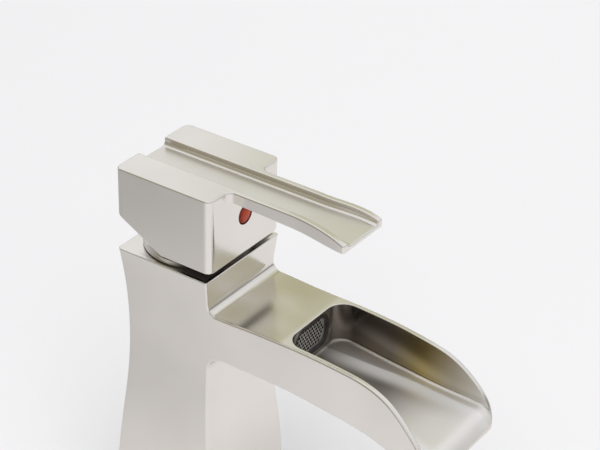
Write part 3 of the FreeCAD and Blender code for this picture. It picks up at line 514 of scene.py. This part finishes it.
# each grain is drawn coarser than the real one, which is too fine to show
FINISHES = {
    Slot.SATIN_NICKEL: SatinNickel(),
    # moulded nitrile rubber: dull black with a faint bloom
    Slot.BLACK_RUBBER: Finish(
        "moulded_nitrile_rubber", "#1b1b1c", "#262627", 0.0, (0.55, 0.75), (0.5, 0.5, 0.5), 0.02
    ),
    # bright zinc on steel: cool grey with cloudy patches
    Slot.ZINC_STEEL: Finish(
        "bright_zinc_plated_steel", "#c3c6ca", "#aeb2b8", 1.0, (0.24, 0.4), (0.6, 0.6, 0.6), 0.004, 5.0
    ),
    # moulded black acetal with a semi-gloss skin
    Slot.DARK_TRIM: Finish(
        "moulded_black_acetal", "#2c2a29", "#363331", 0.0, (0.28, 0.4), (0.3, 0.3, 0.3), 0.004
    ),
    # etched stainless sheet: light grey metal; painted shade makes the walls of its holes near black, and
    # they are rougher
    Slot.SCREEN_STEEL: Finish(
        "etched_stainless_sheet", "#dddbd8", "#cfcdca", 0.8, (0.4, 0.5), (0.4, 2.0, 0.4), 0.003,
        patches=(Patch((Border(Measure.LENGTHWISE, 0.7, 0.4),), "#1d1b1a", 0.7),),
    ),
    # natural acetal: off-white and slightly waxy
    Slot.CARTRIDGE_PLASTIC: Finish(
        "natural_acetal", "#dcdbd5", "#d2d1ca", 0.0, (0.32, 0.45), (0.8, 0.8, 0.8), 0.006
    ),
    # blue nylon stop ring
    Slot.LIMIT_PLASTIC: Finish(
        "moulded_blue_nylon", "#3d5f9c", "#34538b", 0.0, (0.38, 0.5), (0.6, 0.6, 0.6), 0.006
    ),
    # lapped alumina disc: warm white with a fine satin
    Slot.CERAMIC: Finish(
        "lapped_alumina", "#ece9e0", "#e2dfd5", 0.0, (0.12, 0.2), (0.2, 0.2, 0.2), 0.001, 6.0
    ),
    # turned brass, left unplated: yellow with ring marks along the axis
    Slot.RAW_BRASS: Finish(
        "turned_brass", "#d8b565", "#c9a251", 1.0, (0.2, 0.34), (3.0, 3.0, 0.25), 0.004, 8.0
    ),
    # moulded red acrylic with a glossy face
    Slot.RED_PLASTIC: Finish(
        "moulded_red_acrylic", "#cf4128", "#b93820", 0.0, (0.14, 0.24), (0.5, 0.5, 0.5), 0.003, 4.0
    ),
}
# painted shade darkens the column's top under the block, which is also rougher there; the patch fades into
# the polished edge behind it
COLUMN_FINISH = SatinNickel(
    "satin_nickel_plate_column",
    patches=(
        Patch(
            (
                Border(Measure.UPWARD, 0.7, 0.9),
                Border(Measure.HEIGHT, 110.0, 110.5),
                Border(Measure.HEIGHT, 114.0, 113.5),
                Border(Measure.ACROSS, 22.4, 21.6),
                Border(Measure.DEPTH, -21.0, -20.2),
                Border(Measure.DEPTH, 15.0, -2.0),
            ),
            "#a8a39d",
            0.5,
        ),
    ),
)
# painted shade darkens the block's underside, which is also rougher, and the channel along its top is
# brushed and not polished
HANDLE_FINISH = SatinNickel(
    "satin_nickel_plate_handle",
    patches=(
        Patch(
            (
                Border(Measure.UPWARD, -0.7, -0.9),
                Border(Measure.HEIGHT, 114.0, 114.5),
                Border(Measure.HEIGHT, 118.0, 117.5),
            ),
            "#8f8a84",
            0.5,
        ),
        Patch(
            (
                Border(Measure.ACROSS, 7.7, 7.3),
                Border(Measure.UPWARD, 0.9, 0.97),
                Border(Measure.HEIGHT, 145.6, 145.3),
            ),
            roughness=0.33,
        ),
    ),
)
# the collar is turned and plated; at its foot and on the front, which the block hides, painted shade darkens
# it and it is rougher
COLLAR_FINISH = Finish(
    "turned_nickel_collar", "#cfcbc6", "#c5c1bb", 1.0, (0.16, 0.24), (4.0, 4.0, 0.3), 0.001, 12.0,
    patches=tuple(
        Patch((border,), "#4a4643", 0.5)
        for border in (Border(Measure.HEIGHT, 112.8, 112.4), Border(Measure.DEPTH, -1.0, -9.0))
    ),
)
# cast acrylic button with a crowned, flame-polished face; its colour holds a painted highlight and painted
# shade
JEWEL_FINISH = JewelAcrylic(
    "cast_red_acrylic", "#d04a1c", "#b83a10", 0.0, (0.2, 0.3), (0.5, 0.5, 0.5), 0.002, 2.0, 0.2
)


# ---- meshes -------------------------------------------------------------------------


def spun(
    profile: tuple[tuple[float, float], ...], axis: Vector, middle: Vector, steps: int = 48
) -> bmesh.types.BMesh:
    """Turns a profile once round an axis into a closed shape.

    Args:
        profile: radius and distance along the axis of each point.
        axis: direction of the axis.
        middle: point on the axis where the distance is zero.
        steps: steps of the turn.

    Returns:
        The closed shape, in metres.
    """
    shape = bmesh.new()
    side = axis.orthogonal().normalized()
    points = [shape.verts.new((middle + side * radius + axis * along) * MM) for radius, along in profile]
    edges = [shape.edges.new(pair) for pair in zip(points, points[1:])]
    bmesh.ops.spin(
        shape, geom=points + edges, cent=middle * MM, axis=axis, angle=math.tau, steps=steps, use_merge=True
    )
    return shape


def finish_shape(shape: bmesh.types.BMesh, name: str, sharp: float = 35.0) -> bpy.types.Object:
    """Merges doubles, turns the faces outwards and makes the object.

    Args:
        shape: the shape, which is freed.
        name: the object's name.
        sharp: edges that turn by more than this angle stay sharp, in degrees.

    Returns:
        The new object.
    """
    bmesh.ops.remove_doubles(shape, verts=shape.verts, dist=MERGE * MM)
    bmesh.ops.recalc_face_normals(shape, faces=shape.faces)
    for face in shape.faces:
        face.smooth = True
    for edge in shape.edges:
        edge.smooth = len(edge.link_faces) == 2 and edge.calc_face_angle(0.0) < math.radians(sharp)
    mesh = bpy.data.meshes.new(name)
    shape.to_mesh(mesh)
    shape.free()
    piece = bpy.data.objects.new(name, mesh)
    bpy.context.scene.collection.objects.link(piece)
    return piece


# ---- sub-assemblies -----------------------------------------------------------------


@dataclass
class SubAssembly:
    """CAD nodes that are dressed together, with the pieces that are added to them."""

    nodes: tuple[str, ...] = ()
    body: str = "faucet"
    special: dict[str, Finish] = field(default_factory=dict)

    def build(self, materials: dict[Slot, bpy.types.Material]) -> list[bpy.types.Object]:
        """Builds the added pieces; the plain sub-assembly has none.

        Args:
            materials: the material of each slot.

        Returns:
            The new pieces.
        """
        return []

    def stand_in(
        self, piece: bpy.types.Object, node: str, slot: Slot, material: bpy.types.Material
    ) -> bpy.types.Object:
        """Lets a piece stand for a CAD node, on this sub-assembly's body.

        Args:
            piece: the new piece.
            node: the node it stands for.
            slot: the record's slot of its finish; not used.
            material: its finish.

        Returns:
            The piece.
        """
        piece.data.materials.append(material)
        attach(piece, self.body)
        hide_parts(node)
        return piece

    def dress(self, materials: dict[Slot, bpy.types.Material]) -> None:
        """Gives each CAD node its finish.

        Args:
            materials: the material of each slot.
        """
        slots = {part["node"]: Slot(part["material_slot"]) for part in frame["record"]["subparts"]}
        for name in self.nodes:
            finish = self.special[name].build() if name in self.special else materials[slots[name]]
            for place in frame["nodes"][name].material_slots:
                place.material = finish
            LOG.info("dressed %s in %s", name, finish.name)


@dataclass
class Casting(SubAssembly):
    """Column with its brazed spout, foot and inlet block."""

    nodes: tuple[str, ...] = ("faucet_body", "spout", "column_foot", "inlet_block")
    special: dict[str, Finish] = field(
        default_factory=lambda: {"spout": SpoutNickel(), "faucet_body": COLUMN_FINISH}
    )


@dataclass
class DeckFixing(SubAssembly):
    """Foot gasket, studs, clamp plate with its rubber, and nuts."""

    nodes: tuple[str, ...] = (
        "base_gasket",
        "mounting_studs",
        "clamp_gasket",
        "clamp_plate",
        "mounting_nuts",
    )
    crest_radius: float = 2.98
    root_radius: float = 2.45
    pitch: float = 1.0
    crest: tuple[float, float] = (0.42, 0.58)
    steps_a_turn: int = 24
    spare_turns: float = 1.5
    stud_offset: float = 14.0
    lead_in: float = 0.7
    sharp: float = 50.0

    def build(self, materials: dict[Slot, bpy.types.Material]) -> list[bpy.types.Object]:
        """Builds the two threaded studs.

        Args:
            materials: the material of each slot.

        Returns:
            The studs.
        """
        places = {"stud_front": -self.stud_offset, "stud_rear": self.stud_offset}
        slot = Slot.ZINC_STEEL
        return [
            self.stand_in(self.stud(name, y), "mounting_studs", slot, materials[slot])
            for name, y in places.items()
        ]

    def stud(self, name: str, y: float) -> bpy.types.Object:
        """Rolls one stud: a thread profile goes up its helix, and both ends are cut flat.

        Args:
            name: the piece's name.
            y: place of its axis.

        Returns:
            The stud.
        """
        low, high = (corner.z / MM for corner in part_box("mounting_studs"))
        shape = self.thread_turn(low - self.spare_turns * self.pitch, y)
        turns = 1
        while turns < (high - low) / self.pitch + 2 * self.spare_turns:
            copy = bmesh.ops.duplicate(shape, geom=[*shape.verts, *shape.edges, *shape.faces])["geom"]
            moved = [item for item in copy if isinstance(item, bmesh.types.BMVert)]
            bmesh.ops.translate(shape, verts=moved, vec=(0.0, 0.0, turns * self.pitch * MM))
            turns *= 2
        bmesh.ops.remove_doubles(shape, verts=shape.verts, dist=MERGE * MM)
        for height, way in ((low, -1.0), (high, 1.0)):
            everything = [*shape.verts, *shape.edges, *shape.faces]
            middle = (0.0, y * MM, height * MM)
            bmesh.ops.bisect_plane(
                shape, geom=everything, plane_co=middle, plane_no=(0.0, 0.0, way), clear_outer=True
            )
            rim = [
                edge for edge in shape.edges
                if edge.is_boundary and abs(edge.verts[0].co.z - height * MM) < MERGE * MM
            ]
            bmesh.ops.edgeloop_fill(shape, edges=rim)
        self.chamfer(shape, low, y)
        return finish_shape(shape, name, self.sharp)

    def thread_turn(self, height: float, y: float) -> bmesh.types.BMesh:
        """Makes one turn of the thread.

        Args:
            height: where the turn starts.
            y: place of its axis.

        Returns:
            The turn, in metres.
        """
        shape = bmesh.new()
        crest = [(self.crest_radius, share) for share in self.crest]
        profile = [(self.root_radius, 0.0), *crest, (self.root_radius, 1.0)]
        points = [
            shape.verts.new((radius * MM, y * MM, (height + share * self.pitch) * MM))
            for radius, share in profile
        ]
        edges = [shape.edges.new(pair) for pair in zip(points, points[1:])]
        bmesh.ops.spin(
            shape, geom=points + edges, cent=(0.0, y * MM, 0.0), axis=(0.0, 0.0, 1.0), angle=math.tau,
            steps=self.steps_a_turn, dvec=(0.0, 0.0, self.pitch * MM / self.steps_a_turn),
        )
        return shape

    def chamfer(self, shape: bmesh.types.BMesh, low: float, y: float) -> None:
        """Draws the lower end of the thread in to a lead-in.

        Args:
            shape: the stud.
            low: its lower end.
            y: place of its axis.
        """
        for vert in shape.verts:
            above = vert.co.z / MM - low
            limit = (self.crest_radius - max(0.0, self.lead_in - above)) * MM
            away = Vector((vert.co.x, vert.co.y - y * MM))
            if away.length > limit:
                away.length = limit
                vert.co.x, vert.co.y = away.x, y * MM + away.y


@dataclass
class Outlet(SubAssembly):
    """Perforated screen in its dark ring at the back of the trough."""

    nodes: tuple[str, ...] = ("screen_frame", "outlet_screen", "screen_seal")


@dataclass
class Cartridge(SubAssembly):
    """Ceramic disc cartridge with its nut and cover."""

    nodes: tuple[str, ...] = (
        "cartridge_base",
        "port_seals",
        "fixed_disc",
        "cartridge_housing",
        "limit_ring",
        "cartridge_nut",
        "bonnet",
        "rotor",
        "spindle_pin",
        "moving_disc",
        "disc_carrier",
    )
    special: dict[str, Finish] = field(default_factory=lambda: {"bonnet": COLLAR_FINISH})


@dataclass
class LeverHandle(SubAssembly):
    """Block and lever with the stem, its grub screw and the red plug."""

    nodes: tuple[str, ...] = ("handle", "spindle", "handle_set_screw", "indicator_plug")
    body: str = "lever_handle"
    special: dict[str, Finish] = field(default_factory=lambda: {"handle": HANDLE_FINISH})
    button_radius: float = 4.2
    button_crown: float = 0.8
    # radius and depth of each point of its outline, from the crown to the back
    button: tuple[tuple[float, float], ...] = (
        (0.0, 0.0), (1.2, 0.03), (2.3, 0.13), (3.2, 0.3), (3.8, 0.52), (4.1, 0.8), (4.2, 1.15),
        (4.2, 2.4), (0.0, 2.4),
    )

    def build(self, materials: dict[Slot, bpy.types.Material]) -> list[bpy.types.Object]:
        """Builds the crowned red button.

        Args:
            materials: the material of each slot.

        Returns:
            The button.
        """
        front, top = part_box("indicator_plug")[0].y / MM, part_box("indicator_plug")[1].z / MM
        middle = Vector((0.0, front - self.button_crown, top - self.button_radius))
        shape = spun(self.button, Vector((0.0, 1.0, 0.0)), middle)
        piece = finish_shape(shape, "indicator_button")
        return [self.stand_in(piece, "indicator_plug", Slot.RED_PLASTIC, JEWEL_FINISH.build())]


# ---- studio -------------------------------------------------------------------------


@dataclass(frozen=True)
class MirroredTone:
    """A soft-edged part of the studio that only the metal mirrors; its sizes are degrees."""

    azimuth: float
    elevation: float
    radius: float
    softness: float
    colour: str

    def lay_over(self, studio: Surface, look: Socket) -> None:
        """Lays this tone over the studio's colour.

        Args:
            studio: the studio that metal mirrors.
            look: direction that is looked in.
        """
        turn, rise = math.radians(self.azimuth), math.radians(self.elevation)
        aim = (math.cos(rise) * math.cos(turn), math.cos(rise) * math.sin(turn), math.sin(rise))
        faced = {0: look, 1: aim}
        near = add_node(studio.tree, "VectorMath", faced, operation="DOT_PRODUCT").outputs["Value"]
        inner = math.cos(math.radians(self.radius))
        outer = math.cos(math.radians(self.radius + self.softness))
        span = {"Value": near, "From Min": outer, "From Max": inner}
        share = add_node(studio.tree, "MapRange", span, interpolation_type="SMOOTHSTEP").outputs[0]
        studio.lay(share, linear(self.colour))


@dataclass(frozen=True)
class Lamp:
    """A square soft lamp, which metal doesn't mirror; its lengths are metres and its power is watts."""

    name: str
    place: tuple[float, float, float]
    size: float
    power: float

    def hang(self, aim: Vector) -> None:
        """Hangs the lamp so that it faces a point.

        Args:
            aim: the point.
        """
        data = bpy.data.lights.new(self.name, "AREA")
        data.shape = "SQUARE"
        data.size = self.size
        data.energy = self.power
        lamp = bpy.data.objects.new(self.name, data)
        turn = (aim - Vector(self.place)).to_track_quat("-Z", "Y").to_matrix().to_4x4()
        lamp.matrix_world = Matrix.Translation(self.place) @ turn
        lamp.visible_glossy = False
        bpy.context.scene.collection.objects.link(lamp)


@dataclass
class Studio:
    """Pale floor, soft light and the camera; its lengths are metres."""

    focal_px: float = 1932.22
    width_px: float = 600.0
    sensor_mm: float = 36.0
    yaw: float = -55.31723
    pitch: float = 31.14458
    roll: float = 1.42952
    eye: tuple[float, float, float] = (-0.511521, -0.402547, 0.512810)
    sight: float = 60.0
    aim: tuple[float, float, float] = (0.0, -0.04, 0.07)
    floor_half: float = 6.0
    floor_colour: str = "#f3f3f5"
    # what metal sees of the floor, from far at the rear left to near
    floor_mirrored: tuple[tuple[float, str], ...] = ((0.0, "#c0bebd"), (1.0, "#f6f4f3"))
    floor_way: tuple[float, float, float] = (0.35, -0.94, 0.0)
    floor_span: tuple[float, float] = (-0.30, -0.02)
    world_light: float = 0.55
    light_colour: str = "#fdfcfb"
    backdrop: str = "#f4f4f6"
    # what metal sees all round, and the way in which that grows paler
    around_mirrored: tuple[tuple[float, str], ...] = ((0.0, "#d8d7d6"), (1.0, "#ffffff"))
    around_way: tuple[float, float, float] = (0.70, 0.49, 0.52)
    tones: tuple[MirroredTone, ...] = (
        MirroredTone(18.0, 31.0, 13.0, 5.0, "#d3d2b6"),
        MirroredTone(145.0, 31.0, 20.0, 12.0, "#b3ac93"),
    )
    # metal sees a darker stretch towards the horizon, which draws the edges
    horizon: str = "#8d8984"
    horizon_rise: tuple[float, float] = (0.26, 0.06)
    lamps: tuple[Lamp, ...] = (
        Lamp("key", (-0.9, -0.7, 1.7), 1.4, 21.0),
        Lamp("fill", (1.3, 0.5, 1.2), 1.6, 9.0),
    )

    def camera(self) -> None:
        """Sets the camera where the photograph was taken from."""
        yaw, pitch = math.radians(self.yaw), math.radians(self.pitch)
        back = Vector((math.sin(yaw) * math.cos(pitch), -math.cos(yaw) * math.cos(pitch), math.sin(pitch)))
        right = Vector((0, 0, 1)).cross(back).normalized()
        up = back.cross(right)
        turn = Matrix.Rotation(math.radians(self.roll), 3, "Z")
        axes = Matrix((right, up, back)).transposed() @ turn
        data = bpy.data.cameras.new("camera")
        data.sensor_fit = "HORIZONTAL"
        data.sensor_width = self.sensor_mm
        data.lens = self.focal_px / self.width_px * self.sensor_mm
        data.clip_end = self.sight
        camera = bpy.data.objects.new("camera", data)
        camera.matrix_world = Matrix.Translation(self.eye) @ axes.to_4x4()
        bpy.context.scene.collection.objects.link(camera)
        bpy.context.scene.camera = camera

    def floor(self, height: float) -> None:
        """Lays the pale floor under the object.

        Args:
            height: the floor's height.
        """
        mesh = bpy.data.meshes.new("floor")
        shape = bmesh.new()
        bmesh.ops.create_grid(shape, x_segments=1, y_segments=1, size=self.floor_half)
        bmesh.ops.translate(shape, verts=shape.verts, vec=(0, 0, height))
        shape.to_mesh(mesh)
        shape.free()
        floor = bpy.data.objects.new("floor", mesh)
        bpy.context.scene.collection.objects.link(floor)
        mesh.materials.append(self.floor_material())

    def floor_material(self) -> bpy.types.Material:
        """Makes matt pale paper, which metal sees a little darker to the rear left of the object.

        Returns:
            The paper's material.
        """
        material = bpy.data.materials.new("matt_paper_floor")
        material.use_nodes = True
        tree = material.node_tree
        tree.nodes.clear()
        place = {0: add_node(tree, "TexCoord").outputs["Object"], 1: self.floor_way}
        way = add_node(tree, "VectorMath", place, operation="DOT_PRODUCT").outputs["Value"]
        low, high = self.floor_span
        share = add_node(tree, "MapRange", {"Value": way, "From Min": low, "From Max": high}).outputs[0]
        paper = Surface(tree, linear(self.floor_colour))
        mirrored = add_node(tree, "ValToRGB", {0: share}, self.floor_mirrored).outputs[0]
        paper.lay(add_node(tree, "LightPath").outputs["Is Glossy Ray"], mirrored)
        shader = add_node(tree, "BsdfDiffuse", {"Color": paper.colour}).outputs[0]
        add_node(tree, "OutputMaterial", {"Surface": shader})
        return material

    def mirrored(self, tree: bpy.types.NodeTree) -> Colour:
        """Colours what only the metal mirrors.

        Args:
            tree: the world's tree.

        Returns:
            The colour in each direction.
        """
        look = add_node(tree, "TexCoord").outputs["Generated"]
        aimed = {0: look, 1: self.around_way}
        way = add_node(tree, "VectorMath", aimed, operation="DOT_PRODUCT").outputs["Value"]
        share = add_node(tree, "MapRange", {"Value": way, "From Min": -1.0, "From Max": 1.0}).outputs[0]
        studio = Surface(tree, add_node(tree, "ValToRGB", {0: share}, self.around_mirrored).outputs[0])
        for tone in self.tones:
            tone.lay_over(studio, look)
        height = add_node(tree, "SeparateXYZ", {0: look}).outputs[2]
        high, low = self.horizon_rise
        rise = {"Value": height, "From Min": high, "From Max": low}
        share = add_node(tree, "MapRange", rise, interpolation_type="SMOOTHSTEP").outputs[0]
        studio.lay(share, linear(self.horizon))
        return studio.colour

    def world(self) -> None:
        """Lights the studio evenly; the camera sees a plain backdrop, and metal sees more of the studio."""
        world = bpy.data.worlds.new("studio")
        bpy.context.scene.world = world
        world.use_nodes = True
        tree = world.node_tree
        tree.nodes.clear()
        lit = {"Color": linear(self.light_colour), "Strength": self.world_light}
        light = add_node(tree, "Background", lit).outputs[0]
        seen = add_node(tree, "Background", {"Color": linear(self.backdrop), "Strength": 1.0}).outputs[0]
        mirrored = add_node(tree, "Background", {"Color": self.mirrored(tree), "Strength": 1.0}).outputs[0]
        rays = add_node(tree, "LightPath").outputs
        unseen = add_node(tree, "MixShader", {0: rays["Is Glossy Ray"], 1: light, 2: mirrored}).outputs[0]
        whole = add_node(tree, "MixShader", {0: rays["Is Camera Ray"], 1: unseen, 2: seen}).outputs[0]
        add_node(tree, "OutputWorld", {"Surface": whole})

    def build(self) -> None:
        """Builds the whole studio."""
        lowest = min(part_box(name)[0].z for name in frame["nodes"])
        self.camera()
        self.floor(lowest)
        self.world()
        for lamp in self.lamps:
            lamp.hang(Vector(self.aim))
        bpy.context.scene.view_settings.view_transform = "Standard"


def main() -> None:
    """Dresses the faucet and builds its studio."""
    logging.basicConfig(level=logging.INFO, format="%(message)s")
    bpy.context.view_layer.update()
    materials = {slot: finish.build() for slot, finish in FINISHES.items()}
    parts = [Casting(), DeckFixing(), Outlet(), Cartridge(), LeverHandle()]
    for part in parts:
        part.dress(materials)
        for piece in part.build(materials):
            LOG.info("built %s with %d faces", piece.name, len(piece.data.polygons))
    Studio().build()


if __name__ == "__main__":
    main()
